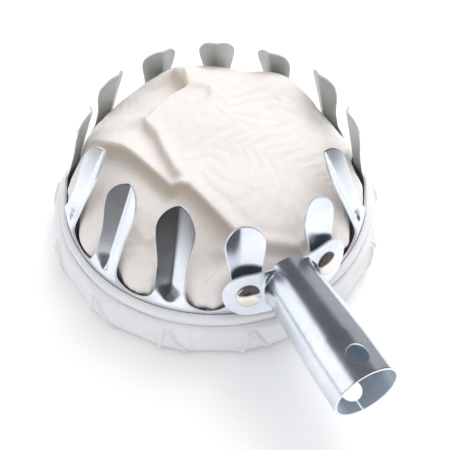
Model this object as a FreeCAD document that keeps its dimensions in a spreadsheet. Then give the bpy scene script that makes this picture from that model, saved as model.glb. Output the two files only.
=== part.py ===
import FreeCAD, Part
import math
import os

import Sketcher
from FreeCAD import Placement, Rotation, Vector

# Fruit picker basket: a claw crown of stamped steel strip on a pole socket, with a cloth bag.
# Millimetres, +Z up. The origin is the centre of the ring on the plane the bag rests on, and the
# socket points along -Y. Angles round the ring are counted from the socket, positive towards +X.

# name of each driving size: value and what it measures
SIZES = {
    "ring_radius": (78, "outer face of the claw strip"),
    "strip_gauge": (1, "thickness of the claw strip"),
    "scallop_height": (28, "bottoms of the gaps between claws, above the rest plane"),
    "band_depth": (13, "plain band below the gaps, inside the hem"),
    "claw_height": (46.5, "claw tips above the gap bottoms"),
    "claw_root_half_width": (6.9, "half width of a claw where it leaves the gap's round bottom"),
    "claw_waist_height": (19, "height of the narrowest place of a claw"),
    "claw_head_half_width": (9.2, "half width of a claw below its round tip"),
    "bend_height": (5, "height above the gap bottoms where the claws start to lean inwards"),
    "bend_height_socket": (17, "the same on the two claws behind the socket's ears"),
    "bend_length": (6, "height over which a claw's bend is rounded"),
    "flute_depth": (3.8, "how far the groove along a claw is pressed inwards"),
    "flute_half_width": (7.5, "half width of the groove"),
    "flute_start": (7, "height above the gap bottoms where the groove starts"),
    "flute_start_socket": (19, "the same on the two claws behind the socket's ears"),
    "flute_ramp": (9, "height over which the groove reaches its depth"),
    "socket_claw_angle": (15.5, "angle from the socket to the first claw on each side"),
    "strip_end_gap": (0.8, "slit where the two ends of the strip meet, below the socket"),
    "tie_hole_radius": (1.2, "holes in the band for the bag's ties"),
    "tie_drop": (3.5, "tie holes below the gap bottoms"),
    "socket_axis_rise": (11.8, "socket axis above the gap bottoms"),
    "socket_gauge": (1.2, "thickness of the socket's sheet"),
    "socket_root_radius": (13.5, "outside of the socket at the ring"),
    "socket_mouth_radius": (15.8, "outside of the socket at its mouth"),
    "socket_reach_in": (4.7, "how far the socket's top half reaches inside the ring's outer face"),
    "socket_length": (69, "whole length of the socket"),
    "socket_straight": (23, "straight length at the mouth, beyond the taper"),
    "socket_slit": (0.8, "open seam along the underside"),
    "pin_hole_radius": (5.25, "cross hole for the pole's screw or pin"),
    "pin_hole_from_mouth": (10.3, "cross hole's centre to the mouth"),
    "ear_radius": (11.5, "half height and end radius of each ear"),
    "ear_gap": (0.15, "between the strip and the ears"),
    "rivet_head_radius": (5.8, "domed head of a rivet"),
    "rivet_head_rise": (2.8, "height of the dome"),
    "rivet_shank_radius": (2.5, "rivet shank"),
    "rivet_tail_radius": (4, "closed end inside the crown"),
    "rivet_tail_rise": (1.6, "height of the closed end"),
    "rivet_clearance": (0.1, "between a rivet and its holes and faces"),
    "hem_inner_radius": (78.4, "inside of the cloth hem"),
    "hem_outer_radius": (81, "outside of the cloth hem"),
    "hem_top_drop": (2.2, "hem's top edge below the gap bottoms"),
    "hem_bottom_drop": (8, "hem's bottom edge below the gap bottoms"),
    "skirt_radius": (86, "widest place of the bag's outer fold"),
    "skirt_foot_radius": (81, "outer fold where it meets the rest plane"),
    "skirt_inner_radius": (72.2, "inside of the bag's outer fold"),
    "cloth_gap": (0.3, "between neighbouring soft pieces"),
    "pouch_radius": (71.6, "bag's middle, below the ring"),
    "pouch_shoulder_drop": (24, "pouch's shoulder below its top"),
    "pouch_shoulder_radius": (65.5, "pouch's radius at the shoulder"),
    "pouch_brow_drop": (8, "pouch's brow below its top"),
    "pouch_brow_radius": (53, "pouch's radius at the brow"),
    "pouch_crown_radius": (32, "flat middle of the pouch's top"),
    "pouch_top": (68, "pouch's top above the rest plane"),
    "knot_radius": (2.2, "knot of a bag tie"),
    "tie_cord_radius": (0.9, "cord of a bag tie"),
}

# inward lean of each claw in degrees, bent by hand, in order round the ring from the socket's -X side
CLAW_LEANS = (18, 26, 26, 26, 18, 18, 18, 18, 19, 14, 12, 26, 18)

SHEET = "sizes"
FAILED_STATES = ("Invalid", "Error")


def make_sheet(doc):
    """The spreadsheet of driving sizes, one row each: name, value, meaning."""
    sheet = doc.addObject("Spreadsheet::Sheet", SHEET)
    rows = dict(SIZES)
    for number, lean in enumerate(CLAW_LEANS, start=1):
        rows[f"claw_lean_{number:02d}"] = (lean, "inward lean of this claw, degrees")
    for row, (name, (value, meaning)) in enumerate(rows.items(), start=1):
        sheet.set(f"A{row}", name)
        sheet.set(f"B{row}", str(value))
        sheet.set(f"C{row}", meaning)
        sheet.setAlias(f"B{row}", name)
    doc.recompute()
    return sheet


def cell(name):
    """The expression that reads one size from the sheet."""
    return f"{SHEET}.{name}"


def bind(thing, **expressions):
    """Bind properties of an object to expressions; Base_y stands for Placement.Base.y."""
    for prop, expression in expressions.items():
        path = prop.replace("Base_", "Placement.Base.")
        thing.setExpression(path, expression)


def primitive(doc, kind, name, placement=None, **expressions):
    """A Part primitive with its sizes bound to the sheet."""
    solid = doc.addObject(kind, name)
    if placement is not None:
        solid.Placement = placement
    bind(solid, **expressions)
    return solid


def fused(doc, name, shapes):
    """Several solids joined into one."""
    joined = doc.addObject("Part::MultiFuse", name)
    joined.Shapes = shapes
    return joined


def cut(doc, name, base, tool):
    """One solid less another."""
    rest = doc.addObject("Part::Cut", name)
    rest.Base = base
    rest.Tool = tool
    return rest


def turned_body(doc, name, profile):
    """A body turned about Z from a closed loop of (radius, height) expressions; "0" is the axis or
    the rest plane."""
    body = doc.addObject("PartDesign::Body", name)
    sketch = body.newObject("Sketcher::SketchObject", name + "_profile")
    plane = next(item for item in body.Origin.OriginFeatures if item.Role == "XZ_Plane")
    sketch.AttachmentSupport = [(plane, "")]
    sketch.MapMode = "FlatFace"
    corners = [
        Vector(float(sketch.evalExpression(radius)), float(sketch.evalExpression(height)), 0)
        for radius, height in profile
    ]
    for start, end in zip(corners, corners[1:] + corners[:1]):
        sketch.addGeometry(Part.LineSegment(start, end))
    count = len(corners)
    for index in range(count):
        sketch.addConstraint(Sketcher.Constraint("Coincident", index, 2, (index + 1) % count, 1))
    for index, (radius, height) in enumerate(profile):
        place_corner(sketch, index, "DistanceX", radius, corners[index].x, -2)
        place_corner(sketch, index, "DistanceY", height, corners[index].y, -1)
    turn = body.newObject("PartDesign::Revolution", name + "_turned")
    turn.Profile = sketch
    turn.ReferenceAxis = (sketch, ["V_Axis"])
    turn.Angle = 360
    return body


def place_corner(sketch, index, kind, expression, value, axis):
    """Hold one corner of a sketch at an expression, or on the axis if the expression is 0."""
    if expression == "0":
        sketch.addConstraint(Sketcher.Constraint("PointOnObject", index, 1, axis))
        return
    number = sketch.addConstraint(Sketcher.Constraint(kind, -1, 1, index, 1, value))
    sketch.setExpression(f"Constraints[{number}]", expression)


def claw_angles(sheet):
    """Angles of the claws in order from the socket's -X side round to its +X side."""
    count = len(CLAW_LEANS)
    first = float(sheet.socket_claw_angle)
    pitch = (360 - 2 * first) / (count - 1)
    return [-first - index * pitch for index in range(count)], pitch


def gap_angles(sheet):
    """Angles of the middles of the gaps between claws, the socket's own gap first."""
    angles, pitch = claw_angles(sheet)
    return [0] + [angle - pitch / 2 for angle in angles[:-1]]


# ---------------------------------------------------------------- claw crown

def strip_section(sheet, height, claw):
    """Closed wire of the strip's thickness at one height above the gap bottoms, for a claw that
    stands at -Y. Outside and inside are splines, joined by radial ends."""
    radius = float(sheet.ring_radius)
    gauge = float(sheet.strip_gauge)
    shift = lean_shift(sheet, height, claw)
    depth = flute_depth(sheet, height, claw)
    half_width = float(sheet.flute_half_width)
    left, right = claw["half_angles"]
    rows = 13
    outside = []
    inside = []
    for step in range(rows):
        angle = math.radians(-left + (left + right) * step / (rows - 1))
        across = radius * math.sin(angle)
        pressed = 0
        if abs(across) < half_width:
            pressed = depth * (1 + math.cos(math.pi * across / half_width)) / 2
        inward = shift + pressed
        for points, level in ((outside, radius), (inside, radius - gauge)):
            x = level * math.sin(angle)
            y = -level * math.cos(angle) + inward
            points.append(Vector(x, y, float(sheet.scallop_height) + height))
    outer = Part.BSplineCurve()
    outer.interpolate(outside)
    inner = Part.BSplineCurve()
    inner.interpolate(inside)
    first_end = Part.LineSegment(outside[0], inside[0]).toShape()
    last_end = Part.LineSegment(inside[-1], outside[-1]).toShape()
    return Part.Wire(Part.__sortEdges__([outer.toShape(), last_end, inner.toShape(), first_end]))


def lean_shift(sheet, height, claw):
    """How far a claw has leaned inwards at a height: nothing below the bend, then a soft bend."""
    above = max(0, height - claw["bend_start"])
    bend = float(sheet.bend_length)
    straight = max(0, above - bend)
    curved = min(above, bend)
    return math.tan(math.radians(claw["lean"])) * (curved * curved / (2 * bend) + straight)


def flute_depth(sheet, height, claw):
    """Depth of a claw's groove at a height: it opens over a short ramp."""
    share = min(1, max(0, (height - claw["flute_start"]) / float(sheet.flute_ramp)))
    return float(sheet.flute_depth) * share * share * (3 - 2 * share)


def claw_outline(sheet, half_angles):
    """Solid block, standing radially at -Y, of a claw and its stretch of band seen from outside."""
    radius = float(sheet.ring_radius)
    level = float(sheet.scallop_height)
    foot = level - float(sheet.band_depth)
    root = float(sheet.claw_root_half_width)
    head = float(sheet.claw_head_half_width)
    waist = level + float(sheet.claw_waist_height)
    tip = level + float(sheet.claw_height)
    shoulder = tip - head
    left_edge, right_edge = [radius * math.sin(math.radians(angle)) for angle in half_angles]
    beyond = 5
    edges = []

    def side(sign, edge):
        """Edge outline on one side, from the foot up to the shoulder."""
        scallop = edge - root
        centre = Vector(sign * edge, 0, level + scallop)
        bottom = Vector(sign * edge, 0, level)
        top = Vector(sign * root, 0, level + scallop)
        diagonal = scallop / math.sqrt(2)
        middle = centre + Vector(-sign * diagonal, 0, -diagonal)
        outer_top = Vector(sign * (edge + beyond), 0, level)
        outer_foot = Vector(sign * (edge + beyond), 0, foot)
        rise = Part.BSplineCurve()
        waist_point = Vector(sign * (root + 0.2), 0, max(waist, top.z + 3))
        rise.interpolate(
            Points=[top, waist_point, Vector(sign * head, 0, shoulder)],
            InitialTangent=Vector(0, 0, 1),
            FinalTangent=Vector(0, 0, 1),
        )
        return [
            Part.LineSegment(outer_foot, outer_top).toShape(),
            Part.LineSegment(outer_top, bottom).toShape(),
            Part.Arc(bottom, middle, top).toShape(),
            rise.toShape(),
        ], outer_foot

    left_edges, left_foot = side(-1, left_edge)
    right_edges, right_foot = side(1, right_edge)
    edges += left_edges + right_edges
    round_tip = Part.Arc(Vector(-head, 0, shoulder), Vector(0, 0, tip), Vector(head, 0, shoulder))
    edges.append(round_tip.toShape())
    edges.append(Part.LineSegment(left_foot, right_foot).toShape())
    face = Part.Face(Part.Wire(Part.__sortEdges__(edges)))
    return face.extrude(Vector(0, -radius - 10, 0))


def claw_sector(sheet, claw):
    """One claw with its stretch of band, standing at -Y, in two solids that share a face."""
    bend = claw["bend_start"]
    foot = -float(sheet.band_depth)
    tip = float(sheet.claw_height) + 1
    plain = strip_section(sheet, bend, claw)
    band = Part.Face(plain).extrude(Vector(0, 0, foot - bend))
    steps = 16
    heights = [bend + (tip - bend) * step / (steps - 1) for step in range(steps)]
    blade = Part.makeLoft([strip_section(sheet, height, claw) for height in heights], True, False)
    outline = claw_outline(sheet, claw["half_angles"])
    return band.common(outline), blade.common(outline)


def radial_rod(sheet, radius, height, angle):
    """Rod through the strip at a height above the gap bottoms and an angle round the ring."""
    reach = 20
    start = Vector(0, -float(sheet.ring_radius) + reach / 2, float(sheet.scallop_height) + height)
    rod = Part.makeCylinder(radius, reach, start, Vector(0, -1, 0))
    rod.rotate(Vector(0, 0, 0), Vector(0, 0, 1), angle)
    return rod


def make_claw_crown(doc, sheet):
    """The strip with its claws: formed sheet, cut to outline, one piece all round but for the slit
    where its ends meet."""
    angles, pitch = claw_angles(sheet)
    wide = float(sheet.socket_claw_angle)
    last = len(angles) - 1
    pieces = []
    for index, angle in enumerate(angles):
        at_socket = index in (0, last)
        claw = {
            "lean": float(getattr(sheet, f"claw_lean_{index + 1:02d}")),
            "bend_start": float(sheet.bend_height_socket if at_socket else sheet.bend_height),
            "flute_start": float(sheet.flute_start_socket if at_socket else sheet.flute_start),
            "half_angles": (wide if index == last else pitch / 2, wide if index == 0 else pitch / 2),
        }
        for solid in claw_sector(sheet, claw):
            solid.rotate(Vector(0, 0, 0), Vector(0, 0, 1), angle)
            pieces.append(solid)
    crown = pieces[0].fuse(pieces[1:])
    holes = [
        radial_rod(sheet, float(sheet.tie_hole_radius), -float(sheet.tie_drop), angle)
        for angle in gap_angles(sheet)[1:]
    ]
    rivet_hole = float(sheet.rivet_shank_radius) + float(sheet.rivet_clearance)
    for angle in (-wide, wide):
        holes.append(radial_rod(sheet, rivet_hole, float(sheet.socket_axis_rise), angle))
    slit = float(sheet.strip_end_gap)
    depth = float(sheet.band_depth) + 2
    slit_corner = Vector(-slit / 2, -float(sheet.ring_radius) - 2, float(sheet.scallop_height) - depth)
    holes.append(Part.makeBox(slit, 5, depth + 2, slit_corner))
    crown = crown.cut(holes).removeSplitter()
    node = doc.addObject("Part::Feature", "claw_crown")
    node.Shape = crown.Solids[0] if len(crown.Solids) == 1 else crown
    return node


# ---------------------------------------------------------------- pole socket

def make_pole_socket(doc, sheet):
    """Rolled sheet socket: a taper, a straight mouth, an open seam below, a cross hole, and an ear
    on each side that lies along the strip."""
    outwards = Rotation(Vector(1, 0, 0), 90)
    axis_height = f"{cell('scallop_height')} + {cell('socket_axis_rise')}"
    start = f"{cell('ring_radius')} - {cell('socket_reach_in')}"
    taper_length = f"{cell('socket_length')} - {cell('socket_straight')}"
    gauge = cell("socket_gauge")

    def tube(name, less):
        """Solid taper and straight mouth, thinner than the outside by an expression."""
        taper = primitive(
            doc, "Part::Cone", name + "_taper", Placement(Vector(0, 0, 0), outwards),
            Radius1=f"{cell('socket_root_radius')} - {less}",
            Radius2=f"{cell('socket_mouth_radius')} - {less}",
            Height=taper_length,
            Base_y=f"-({start})",
            Base_z=axis_height,
        )
        straight = primitive(
            doc, "Part::Cylinder", name + "_straight", Placement(Vector(0, 0, 0), outwards),
            Radius=f"{cell('socket_mouth_radius')} - {less}",
            Height=cell("socket_straight"),
            Base_y=f"-({start}) - ({taper_length})",
            Base_z=axis_height,
        )
        return fused(doc, name, [taper, straight])

    outside = tube("socket_outside", "0")
    hollow = tube("socket_hollow", gauge)
    ears = make_ears(doc, sheet, axis_height)
    blank = fused(doc, "socket_blank", [outside, ears])
    rolled = cut(doc, "socket_rolled", blank, hollow)
    away = [
        primitive(
            doc, "Part::Box", "seam_slit",
            Length=cell("socket_slit"),
            Width=cell("socket_length") + " + 20",
            Height=cell("socket_mouth_radius") + " + 1",
            Base_x=f"-{cell('socket_slit')} / 2",
            Base_y=f"-({start}) - {cell('socket_length')} - 10",
            Base_z=f"{axis_height} - {cell('socket_mouth_radius')} - 1",
        ),
        primitive(
            doc, "Part::Cylinder", "pin_hole",
            Radius=cell("pin_hole_radius"),
            Height=cell("socket_mouth_radius") + " * 3",
            Base_y=f"-({start}) - {cell('socket_length')} + {cell('pin_hole_from_mouth')}",
            Base_z=f"{axis_height} - {cell('socket_mouth_radius')} * 1.5",
        ),
        primitive(
            doc, "Part::Cylinder", "strip_clearance",
            Radius=f"{cell('ring_radius')} + {cell('ear_gap')}",
            Height=cell("socket_root_radius") + " + 12",
            Base_z=f"{axis_height} - {cell('socket_root_radius')} - 10",
        ),
    ]
    return cut(doc, "pole_socket", rolled, fused(doc, "socket_cutters", away))


def make_ears(doc, sheet, axis_height):
    """Two plates that hug the outside of the strip, each with a round end about its rivet hole."""
    inner = f"{cell('ring_radius')} + {cell('ear_gap')}"
    shell_height = f"2 * {cell('ear_radius')}"
    base = f"{axis_height} - {cell('ear_radius')}"
    outer_drum = primitive(
        doc, "Part::Cylinder", "ear_drum",
        Radius=f"{inner} + {cell('socket_gauge')}", Height=shell_height, Base_z=base,
    )
    inner_drum = primitive(
        doc, "Part::Cylinder", "ear_drum_hollow",
        Radius=inner, Height=shell_height, Base_z=base,
    )
    shell = cut(doc, "ear_shell", outer_drum, inner_drum)
    rivet_angle = cell("socket_claw_angle")
    reach = f"{cell('ring_radius')} + 10"
    blanks = []
    holes = []
    for side, sign in (("left", -1), ("right", 1)):
        turned = Rotation(Vector(0, 0, 1), sign * float(sheet.socket_claw_angle))
        radial = turned.multiply(Rotation(Vector(1, 0, 0), 90))
        disc = primitive(
            doc, "Part::Cylinder", f"ear_{side}_end", Placement(Vector(0, 0, 0), radial),
            Radius=cell("ear_radius"), Height=reach, Base_z=axis_height,
        )
        hole = primitive(
            doc, "Part::Cylinder", f"ear_{side}_hole", Placement(Vector(0, 0, 0), radial),
            Radius=f"{cell('rivet_shank_radius')} + {cell('rivet_clearance')}",
            Height=reach, Base_z=axis_height,
        )
        bridge_width = f"{cell('ring_radius')} * sin({rivet_angle})"
        bridge = primitive(
            doc, "Part::Box", f"ear_{side}_bridge",
            Length=bridge_width, Width=reach, Height=shell_height,
            Base_x=f"-({bridge_width})" if sign < 0 else "0",
            Base_y=f"-({reach})",
            Base_z=base,
        )
        blanks += [disc, bridge]
        holes.append(hole)
    outline = fused(doc, "ear_outline", blanks)
    plates = doc.addObject("Part::MultiCommon", "ear_plates")
    plates.Shapes = [shell, outline]
    return cut(doc, "ears", plates, fused(doc, "ear_holes", holes))


# ---------------------------------------------------------------- rivets and ties

def make_rivet(doc, sheet, name, angle):
    """Domed rivet through an ear and the strip. It is made head outwards along -Y."""
    outwards = Rotation(Vector(0, 0, 1), angle).multiply(Rotation(Vector(1, 0, 0), 90))
    ear_face = sheet.ring_radius + sheet.ear_gap + sheet.socket_gauge
    seat = ear_face + sheet.rivet_clearance
    inside = sheet.ring_radius - sheet.strip_gauge - sheet.rivet_clearance * 2
    rise = f"{cell('rivet_head_rise')}"
    half = cell("rivet_head_radius")
    ball = f"({half} * {half} + {rise} * {rise}) / (2 * {rise})"
    level = sheet.scallop_height + sheet.socket_axis_rise

    def along(distance):
        """Placement with its Z axis outwards, at a distance from the ring's axis."""
        spot = Rotation(Vector(0, 0, 1), angle).multVec(Vector(0, -distance, 0))
        return Placement(spot + Vector(0, 0, level), outwards)

    radius = float(sheet.rivet_head_radius)
    height = float(sheet.rivet_head_rise)
    ball_radius = (radius * radius + height * height) / (2 * height)
    dome = primitive(
        doc, "Part::Sphere", name + "_dome", along(seat + height - ball_radius),
        Radius=ball, Angle1=f"asin(({ball} - {rise}) / ({ball}))",
    )
    shank = primitive(
        doc, "Part::Cylinder", name + "_shank", along(inside),
        Radius=cell("rivet_shank_radius"),
    )
    shank.Height = seat - inside
    tail_start = inside - float(sheet.rivet_tail_rise)
    tail = primitive(
        doc, "Part::Cone", name + "_tail", along(tail_start),
        Radius1=f"{cell('rivet_tail_radius')} * 0.8",
        Radius2=cell("rivet_tail_radius"),
        Height=cell("rivet_tail_rise"),
    )
    return fused(doc, name, [dome, shank, tail])


def make_tie(doc, sheet, name, angle):
    """One bag tie: a knot inside the band and a short end through its hole to the hem."""
    outwards = Rotation(Vector(0, 0, 1), angle).multiply(Rotation(Vector(1, 0, 0), 90))
    level = sheet.scallop_height - sheet.tie_drop
    knot_centre = sheet.ring_radius - sheet.strip_gauge - sheet.knot_radius - 0.1
    turn = Rotation(Vector(0, 0, 1), angle)
    spot = turn.multVec(Vector(0, -knot_centre, 0)) + Vector(0, 0, level)
    knot = primitive(
        doc, "Part::Sphere", name + "_knot", Placement(spot, outwards), Radius=cell("knot_radius"),
    )
    cord = primitive(
        doc, "Part::Cylinder", name + "_cord", Placement(spot, outwards),
        Radius=cell("tie_cord_radius"),
    )
    cord.Height = sheet.hem_inner_radius - 0.1 - knot_centre
    return fused(doc, name, [knot, cord])


# ---------------------------------------------------------------- cloth bag

def make_bag(doc):
    """The bag's three sewn parts as plain closed solids."""
    level = cell("scallop_height")
    hem_top = f"{level} - {cell('hem_top_drop')}"
    hem_foot = f"{level} - {cell('hem_bottom_drop')}"
    fold_top = f"{hem_foot} - {cell('cloth_gap')}"
    fold_step = f"{level} - {cell('band_depth')} - {cell('cloth_gap')}"
    hem = turned_body(doc, "bag_hem", [
        (cell("hem_inner_radius"), hem_foot),
        (cell("hem_outer_radius"), hem_foot),
        (cell("hem_outer_radius"), hem_top),
        (cell("hem_inner_radius"), hem_top),
    ])
    skirt = turned_body(doc, "bag_skirt", [
        (cell("skirt_inner_radius"), "0"),
        (cell("skirt_foot_radius"), "0"),
        (cell("skirt_radius"), f"({fold_top}) * 0.45"),
        (cell("skirt_radius"), f"({fold_top}) * 0.75"),
        (cell("hem_outer_radius"), fold_top),
        (cell("hem_inner_radius"), fold_top),
        (cell("hem_inner_radius"), fold_step),
        (cell("skirt_inner_radius"), fold_step),
    ])
    top = cell("pouch_top")
    pouch = turned_body(doc, "bag_pouch", [
        ("0", "0"),
        (cell("pouch_radius"), "0"),
        (cell("pouch_radius"), level),
        (cell("pouch_shoulder_radius"), f"{top} - {cell('pouch_shoulder_drop')}"),
        (cell("pouch_brow_radius"), f"{top} - {cell('pouch_brow_drop')}"),
        (cell("pouch_crown_radius"), top),
        ("0", top),
    ])
    return [hem, skirt, pouch]


# ---------------------------------------------------------------- whole basket

def check_objects(doc):
    """Stop on any object that failed to recompute."""
    for item in doc.Objects:
        for state in FAILED_STATES:
            if state in item.State:
                raise RuntimeError(f"{item.Label} is {item.State}")


def write_nodes(nodes):
    """Check each sub-part and write it as a STEP file named after it."""
    os.makedirs("parts", exist_ok=True)
    for node in nodes:
        shape = node.Shape
        if shape.isNull() or not shape.isValid():
            raise RuntimeError(f"{node.Label} has no valid shape")
        shape.exportStep(os.path.join("parts", node.Label + ".step"))
        print(f"{node.Label}: {len(shape.Solids)} solid, {shape.Volume / 1000:.2f} cm3")


def main():
    doc = FreeCAD.newDocument("fruit_picker_basket")
    sheet = make_sheet(doc)
    nodes = [make_claw_crown(doc, sheet), make_pole_socket(doc, sheet)]
    rivet_angle = float(sheet.socket_claw_angle)
    nodes.append(make_rivet(doc, sheet, "rivet_left", -rivet_angle))
    nodes.append(make_rivet(doc, sheet, "rivet_right", rivet_angle))
    nodes += make_bag(doc)
    for number, angle in enumerate(gap_angles(sheet)[1:], start=1):
        nodes.append(make_tie(doc, sheet, f"bag_tie_{number:02d}", angle))
    doc.recompute()
    check_objects(doc)
    write_nodes(nodes)


main()
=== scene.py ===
import logging
import math
from collections.abc import Callable
from dataclasses import dataclass, field
from enum import Enum

import bmesh
import bpy
import numpy as np
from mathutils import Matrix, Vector


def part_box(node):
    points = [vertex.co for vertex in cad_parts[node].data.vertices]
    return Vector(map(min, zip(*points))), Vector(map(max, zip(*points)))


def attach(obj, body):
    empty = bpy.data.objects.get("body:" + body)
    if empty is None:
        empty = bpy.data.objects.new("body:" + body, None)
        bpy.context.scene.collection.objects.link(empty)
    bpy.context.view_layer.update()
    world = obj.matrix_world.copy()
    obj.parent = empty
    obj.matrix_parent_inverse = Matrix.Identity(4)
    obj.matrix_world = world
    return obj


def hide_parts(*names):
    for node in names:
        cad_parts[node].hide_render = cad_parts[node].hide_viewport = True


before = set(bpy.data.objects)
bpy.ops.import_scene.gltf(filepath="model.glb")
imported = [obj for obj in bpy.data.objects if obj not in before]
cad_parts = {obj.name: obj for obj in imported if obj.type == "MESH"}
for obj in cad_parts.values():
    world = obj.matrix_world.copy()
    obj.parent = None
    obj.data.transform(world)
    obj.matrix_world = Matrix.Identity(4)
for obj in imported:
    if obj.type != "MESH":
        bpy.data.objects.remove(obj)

# Looks of a fruit picker basket: a claw crown of zinc-plated strip on a pole socket, and a cotton bag
# pushed up through the ring. Sizes are in millimetres; meshes are written in metres. Angles round the
# ring are counted from the socket (-Y), positive towards +X.

LOG = logging.getLogger("basket")
MM = 0.001
BODY = "root"
MERGE_DISTANCE = 2e-6

# how the bag's cotton behaves while it settles, at ten times its size
CLOTH_RULES = {
    "quality": 6,
    "mass": 0.2,
    "tension_stiffness": 25.0,
    "compression_stiffness": 25.0,
    "shear_stiffness": 12.0,
    "bending_stiffness": 1.2,
    "tension_damping": 10.0,
    "compression_damping": 10.0,
    "shear_damping": 10.0,
    "pin_stiffness": 0.8,
}

Array = np.ndarray


# ------------------------------------------------------------------ small sums

def soft_step(value: Array) -> Array:
    """Rise from 0 to 1 with level ends: 3 v squared less 2 v cubed, held at 0 and 1 outside.

    Args:
        value: where 0 is the start of the rise and 1 its end.
    Returns:
        The height of the step at each value.
    """
    share = np.clip(value, 0.0, 1.0)
    return share * share * (3.0 - 2.0 * share)


def bell(value: Array) -> Array:
    """Bell curve: e to the power of minus the square."""
    return np.exp(-np.square(value))


def ring_point(radius: Array, angle: Array, height: Array) -> Array:
    """Points at a radius and an angle round the ring.

    Args:
        radius: distance from the ring's axis.
        angle: angle from the socket in radians, positive towards +X.
        height: height above the rest plane.
    Returns:
        x = radius sin angle, y = -radius cos angle, z = height, in a last axis of 3.
    """
    radius, angle, height = np.broadcast_arrays(radius, angle, height)
    return np.stack([radius * np.sin(angle), -radius * np.cos(angle), height], axis=-1)


def turned(points: Array, angle: float) -> Array:
    """Points turned about the ring's axis by an angle in radians, from -Y towards +X."""
    cosine, sine = math.cos(angle), math.sin(angle)
    x, y, z = points[..., 0], points[..., 1], points[..., 2]
    return np.stack([x * cosine - y * sine, x * sine + y * cosine, z], axis=-1)


def spaced(stops: list[float], steps: list[int]) -> Array:
    """Rising values that pass through every stop, with so many even steps between two stops."""
    parts = [
        np.linspace(start, end, count, endpoint=False)
        for start, end, count in zip(stops[:-1], stops[1:], steps)
    ]
    return np.concatenate(parts + [np.array([stops[-1]])])


# ------------------------------------------------------------------ meshes

class Patchwork:
    """Grids of points gathered into one mesh and joined where their edges meet."""

    def __init__(self) -> None:
        """Start with nothing."""
        self.points: list[Array] = []
        self.marks: list[Array] = []
        self.faces: list[Array] = []
        self.count = 0

    def add(self, points: Array, marks: Array, flip: bool = False, keep: Array | None = None) -> None:
        """Add one grid.

        Args:
            points: rows by columns by 3, in millimetres.
            marks: rows by columns by 2, where each point lies on the flat sheet, in millimetres.
            flip: turn the faces round.
            keep: (rows - 1) by (columns - 1) of true and false, the cells to keep.
        """
        rows, columns = points.shape[:2]
        index = np.arange(rows * columns).reshape(rows, columns) + self.count
        corners = [index[:-1, :-1], index[:-1, 1:], index[1:, 1:], index[1:, :-1]]
        cells = np.stack(corners, axis=-1)
        cells = cells.reshape(-1, 4) if keep is None else cells[keep]
        self.points.append(points.reshape(-1, 3))
        self.marks.append(marks.reshape(-1, 2))
        self.faces.append(cells[:, ::-1] if flip else cells)
        self.count += rows * columns

    def build(self, name: str) -> bpy.types.Object:
        """Write the gathered grids into one smooth-shaded object.

        Args:
            name: the object's name.
        Returns:
            The object, at the origin, with a UV map in metres of the flat sheet.
        """
        faces = np.concatenate(self.faces)
        mesh = bpy.data.meshes.new(name)
        mesh.from_pydata(np.concatenate(self.points) * MM, [], faces)
        layer = mesh.uv_layers.new(name="flat")
        flat = np.concatenate(self.marks)[faces.ravel()] * MM
        layer.data.foreach_set("uv", flat.astype(np.float32).ravel())
        work = bmesh.new()
        work.from_mesh(mesh)
        bmesh.ops.remove_doubles(work, verts=work.verts, dist=MERGE_DISTANCE)
        work.to_mesh(mesh)
        work.free()
        mesh.shade_smooth()
        piece = bpy.data.objects.new(name, mesh)
        bpy.context.scene.collection.objects.link(piece)
        return piece


def thicken(piece: bpy.types.Object, gauge: float, even: bool = True) -> None:
    """Give a sheet its thickness, away from its outer face. The inner face and the cut edge take the
    piece's second and third finish, if it has them.

    Args:
        piece: the sheet.
        gauge: thickness in millimetres.
        even: keep the thickness at sharp corners; left off where a corner would throw a spike.
    """
    solid = piece.modifiers.new("gauge", "SOLIDIFY")
    solid.thickness = gauge * MM
    solid.offset = -1.0
    solid.use_even_offset = even
    solid.use_quality_normals = True
    solid.material_offset = 1
    solid.material_offset_rim = 2


def ease_edges(piece: bpy.types.Object, width: float, limit: float = 60.0) -> None:
    """Round the cut edges of a thickened sheet.

    Args:
        piece: the sheet.
        width: width of the rounding in millimetres.
        limit: only edges sharper than this many degrees.
    """
    bevel = piece.modifiers.new("edges", "BEVEL")
    bevel.width = width * MM
    bevel.segments = 2
    bevel.limit_method = "ANGLE"
    bevel.angle_limit = math.radians(limit)
    bevel.harden_normals = False


def dress(piece: bpy.types.Object, materials: list[bpy.types.Material],
          nodes: list[str]) -> None:
    """Finish a piece, let it ride on the basket and let it stand for its CAD nodes.

    Args:
        piece: the piece.
        materials: its finish, or the finishes of a sheet's outer face, inner face and cut edge.
        nodes: the CAD nodes that it replaces.
    """
    piece.data.materials.clear()
    for material in materials:
        piece.data.materials.append(material)
    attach(piece, BODY)
    if nodes:
        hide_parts(*nodes)
    LOG.info("%s: %d faces", piece.name, len(piece.data.polygons))


def turned_piece(name: str, profile: Array, columns: int,
                 place: Callable[[Array], Array]) -> bpy.types.Object:
    """A piece turned about an axis of its own.

    Args:
        name: the object's name.
        profile: rows by 2 of radius and distance along the axis, from pole to pole, in millimetres.
        columns: steps round the axis.
        place: takes points made about the Z axis to where they belong.
    Returns:
        The closed piece.
    """
    turn = np.linspace(0.0, 2.0 * math.pi, columns + 1)[None, :]
    radius, along = profile[:, :1], profile[:, 1:]
    shape = np.broadcast_arrays(radius * np.cos(turn), radius * np.sin(turn), along)
    points = np.stack(shape, axis=-1)
    marks = np.stack(np.broadcast_arrays(turn * 5.0, along + radius), axis=-1)
    work = Patchwork()
    work.add(place(points), marks)
    piece = work.build(name)
    outward_normals(piece)
    return piece


def outward_normals(piece: bpy.types.Object) -> None:
    """Turn the faces of a closed piece outwards."""
    work = bmesh.new()
    work.from_mesh(piece.data)
    bmesh.ops.recalc_face_normals(work, faces=work.faces)
    work.to_mesh(piece.data)
    work.free()


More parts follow.
